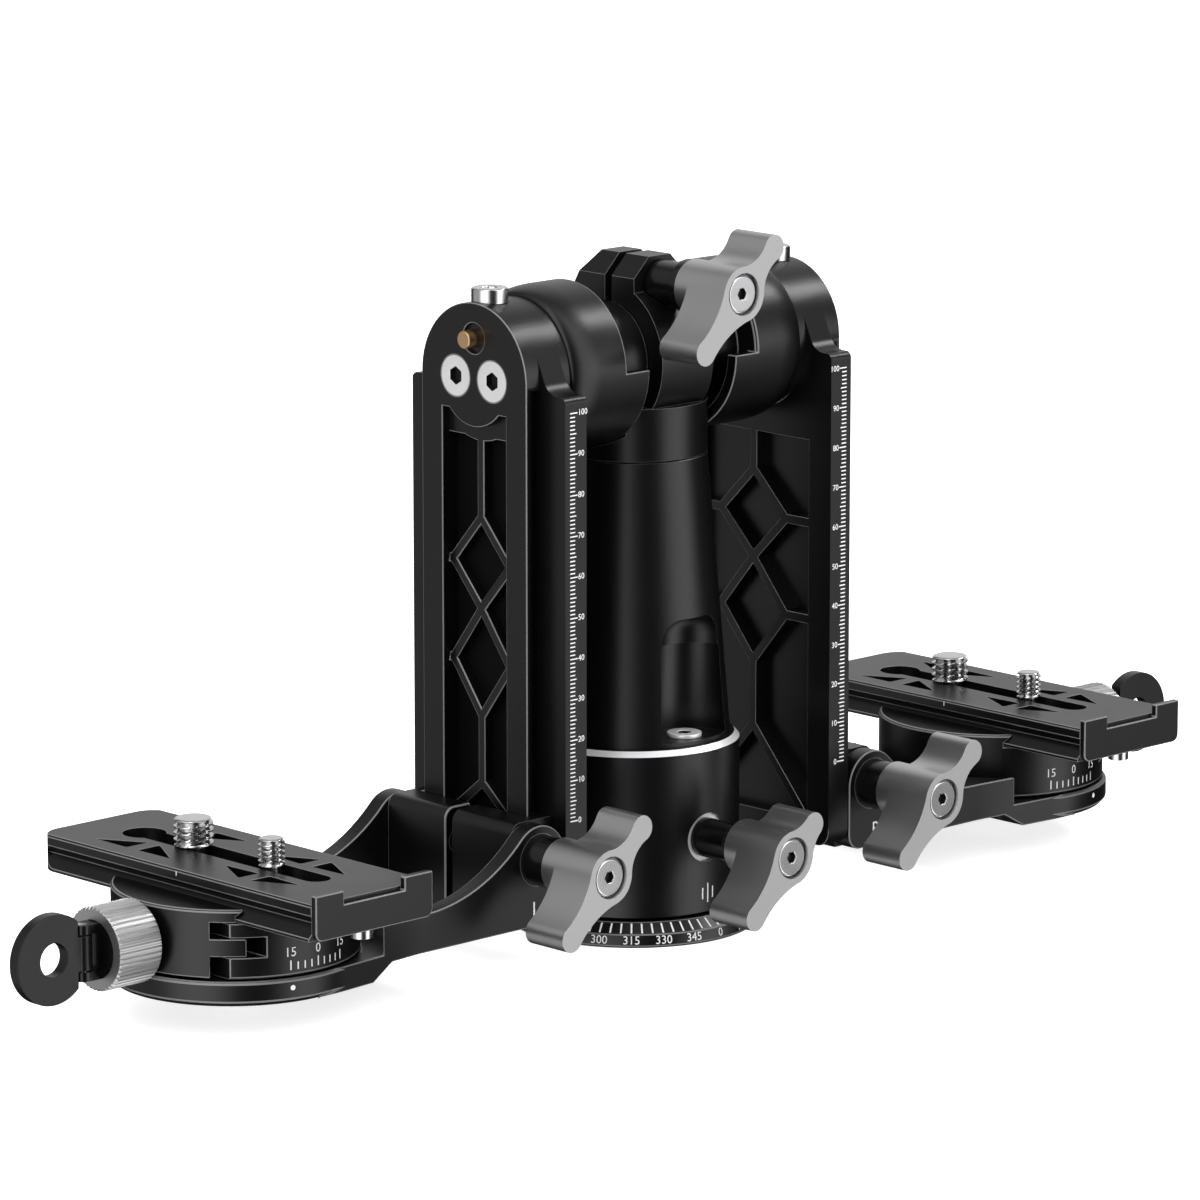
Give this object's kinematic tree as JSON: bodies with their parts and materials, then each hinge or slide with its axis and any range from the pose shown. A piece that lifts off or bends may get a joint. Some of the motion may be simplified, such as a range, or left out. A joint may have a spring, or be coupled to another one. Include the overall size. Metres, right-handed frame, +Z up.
{
  "type": "twin-arm gimbal head",
  "caption": "Panning and tilting camera head: a column carries a yoke of two scaled arms, each with a sliding, folding quick-release platform and lever knobs",
  "frame": {"origin": "centre of the base plate's underside, at the mouth of the tripod socket", "axes": "+X along the tilt axis to the right-hand arm, -Y towards the lever knobs, +Z up the column"},
  "size_m": [0.3964, 0.107, 0.1755],
  "materials": {
    "black_anodised": "satin black anodised",
    "silver_anodised": "brushed, clear anodised",
    "bright_steel": "bright turned",
    "black_steel": "blackened",
    "bearing_bronze": "turned",
    "copper_pin": "turned, copper coloured"
  },
  "bodies": {
    "base": {"base_plate": "black_anodised", "base_screws": "bright_steel", "pan_spindle": "bright_steel", "spindle_cap": "bright_steel"},
    "head": {"pan_bush": "bearing_bronze", "pan_brake_shoe": "bearing_bronze", "pan_housing": "black_anodised", "column": "black_anodised", "column_screws": "bright_steel", "neck_bolt": "bright_steel", "clamp_head": "black_anodised", "tilt_bush": "bearing_bronze"},
    "yoke": {"tilt_shaft": "bright_steel", "hub_left": "black_anodised", "hub_right": "black_anodised", "arm_left": "black_anodised", "arm_right": "black_anodised", "arm_screws": "bright_steel", "top_screws": "bright_steel", "stop_pins": "copper_pin"},
    "tilt_lever": {"tilt_knob": "silver_anodised", "tilt_knob_stud": "black_steel", "tilt_knob_screw": "bright_steel"},
    "pan_lever": {"pan_knob": "silver_anodised", "pan_knob_stud": "black_steel", "pan_knob_screw": "bright_steel"},
    "slider_left": {"slider_front_jaw_left": "black_anodised", "slider_back_jaw_left": "black_anodised"},
    "slider_lever_left": {"slider_knob_left": "silver_anodised", "slider_knob_stud_left": "black_steel", "slider_knob_screw_left": "bright_steel"},
    "fork_left": {"fork_left": "black_anodised"},
    "clamp_left": {"clamp_pivot_left": "bright_steel", "clamp_base_left": "black_anodised"},
    "jaw_left": {"clamp_jaw_left": "black_anodised"},
    "clamp_screw_left": {"clamp_knob_left": "silver_anodised", "clamp_stud_left": "black_steel"},
    "paddle_left": {"paddle_left": "black_anodised", "paddle_pin_left": "bright_steel"},
    "plate_left": {"plate_left": "black_anodised", "plate_stop_screws_left": "bright_steel"},
    "screw_large_left": {"screw_large_left": "bright_steel"},
    "screw_small_left": {"screw_small_left": "bright_steel"},
    "slider_right": {"slider_front_jaw_right": "black_anodised", "slider_back_jaw_right": "black_anodised"},
    "slider_lever_right": {"slider_knob_right": "silver_anodised", "slider_knob_stud_right": "black_steel", "slider_knob_screw_right": "bright_steel"},
    "fork_right": {"fork_right": "black_anodised"},
    "clamp_right": {"clamp_pivot_right": "bright_steel", "clamp_base_right": "black_anodised"},
    "jaw_right": {"clamp_jaw_right": "black_anodised"},
    "clamp_screw_right": {"clamp_knob_right": "silver_anodised", "clamp_stud_right": "black_steel"},
    "paddle_right": {"paddle_right": "black_anodised", "paddle_pin_right": "bright_steel"},
    "plate_right": {"plate_right": "black_anodised", "plate_stop_screws_right": "bright_steel"},
    "screw_large_right": {"screw_large_right": "bright_steel"},
    "screw_small_right": {"screw_small_right": "bright_steel"}
  },
  "joints": [
    {"name": "pan", "type": "hinge", "parent": "base", "child": "head", "pos_m": [0, 0, 0.02], "axis": [0, 0, 1], "continuous": true},
    {"name": "tilt", "type": "hinge", "parent": "head", "child": "yoke", "pos_m": [0, 0, 0.1431], "axis": [1, 0, 0], "range_deg": [-90, 90]},
    {"name": "tilt_lever_turn", "type": "hinge", "parent": "head", "child": "tilt_lever", "pos_m": [0, -0.028, 0.162], "axis": [0, -1, 0], "range_deg": [0, 360]},
    {"name": "pan_lever_turn", "type": "hinge", "parent": "head", "child": "pan_lever", "pos_m": [0, -0.046, 0.0252], "axis": [0, -1, 0], "range_deg": [0, 360]},
    {"name": "slider_left_slide", "type": "slide", "parent": "yoke", "child": "slider_left", "axis": [0, 0, 1], "range_m": [0, 0.1]},
    {"name": "slider_left_lever_turn", "type": "hinge", "parent": "slider_left", "child": "slider_lever_left", "pos_m": [-0.0578, -0.042, 0.0296], "axis": [0, -1, 0], "range_deg": [0, 360]},
    {"name": "fork_left_fold", "type": "hinge", "parent": "slider_left", "child": "fork_left", "pos_m": [-0.0578, 0, 0.0296], "axis": [0, 1, 0], "range_deg": [0, 75]},
    {"name": "clamp_left_turn", "type": "hinge", "parent": "fork_left", "child": "clamp_left", "pos_m": [-0.131, 0, 0.016], "axis": [0, 0, 1], "range_deg": [-30, 0]},
    {"name": "jaw_left_slide", "type": "slide", "parent": "clamp_left", "child": "jaw_left", "axis": [-1, 0, 0], "range_m": [0, 0.0025]},
    {"name": "clamp_screw_left_turn", "type": "hinge", "parent": "jaw_left", "child": "clamp_screw_left", "pos_m": [-0.166, 0, 0.0235], "axis": [-1, 0, 0], "range_deg": [0, 900]},
    {"name": "paddle_left_fold", "type": "hinge", "parent": "clamp_screw_left", "child": "paddle_left", "pos_m": [-0.1776, 0, 0.0235], "axis": [0, 0, -1], "range_deg": [0, 90]},
    {"name": "plate_left_slide", "type": "slide", "parent": "clamp_left", "child": "plate_left", "axis": [0, 1, 0], "range_m": [-0.013, 0.012]},
    {"name": "screw_large_left_slide", "type": "slide", "parent": "plate_left", "child": "screw_large_left", "axis": [0, 1, 0], "range_m": [-0.005, 0.01]},
    {"name": "screw_small_left_slide", "type": "slide", "parent": "plate_left", "child": "screw_small_left", "axis": [0, 1, 0], "range_m": [-0.009, 0.005]},
    {"name": "slider_right_slide", "type": "slide", "parent": "yoke", "child": "slider_right", "axis": [0, 0, 1], "range_m": [0, 0.1]},
    {"name": "slider_right_lever_turn", "type": "hinge", "parent": "slider_right", "child": "slider_lever_right", "pos_m": [0.0578, -0.042, 0.0296], "axis": [0, -1, 0], "range_deg": [0, 360]},
    {"name": "fork_right_fold", "type": "hinge", "parent": "slider_right", "child": "fork_right", "pos_m": [0.0578, 0, 0.0296], "axis": [0, -1, 0], "range_deg": [0, 75]},
    {"name": "clamp_right_turn", "type": "hinge", "parent": "fork_right", "child": "clamp_right", "pos_m": [0.131, 0, 0.016], "axis": [0, 0, 1], "range_deg": [0, 30]},
    {"name": "jaw_right_slide", "type": "slide", "parent": "clamp_right", "child": "jaw_right", "axis": [1, 0, 0], "range_m": [0, 0.0025]},
    {"name": "clamp_screw_right_turn", "type": "hinge", "parent": "jaw_right", "child": "clamp_screw_right", "pos_m": [0.166, 0, 0.0235], "axis": [1, 0, 0], "range_deg": [0, 900]},
    {"name": "paddle_right_fold", "type": "hinge", "parent": "clamp_screw_right", "child": "paddle_right", "pos_m": [0.1776, 0, 0.0235], "axis": [0, 0, 1], "range_deg": [0, 90]},
    {"name": "plate_right_slide", "type": "slide", "parent": "clamp_right", "child": "plate_right", "axis": [0, 1, 0], "range_m": [-0.013, 0.012]},
    {"name": "screw_large_right_slide", "type": "slide", "parent": "plate_right", "child": "screw_large_right", "axis": [0, 1, 0], "range_m": [-0.005, 0.01]},
    {"name": "screw_small_right_slide", "type": "slide", "parent": "plate_right", "child": "screw_small_right", "axis": [0, 1, 0], "range_m": [-0.009, 0.005]}
  ],
  "couplings": [
    {"joint": "clamp_screw_left_turn", "follows": "jaw_left_slide", "rad_per_m": 6283.2},
    {"joint": "clamp_screw_right_turn", "follows": "jaw_right_slide", "rad_per_m": 6283.2}
  ]
}
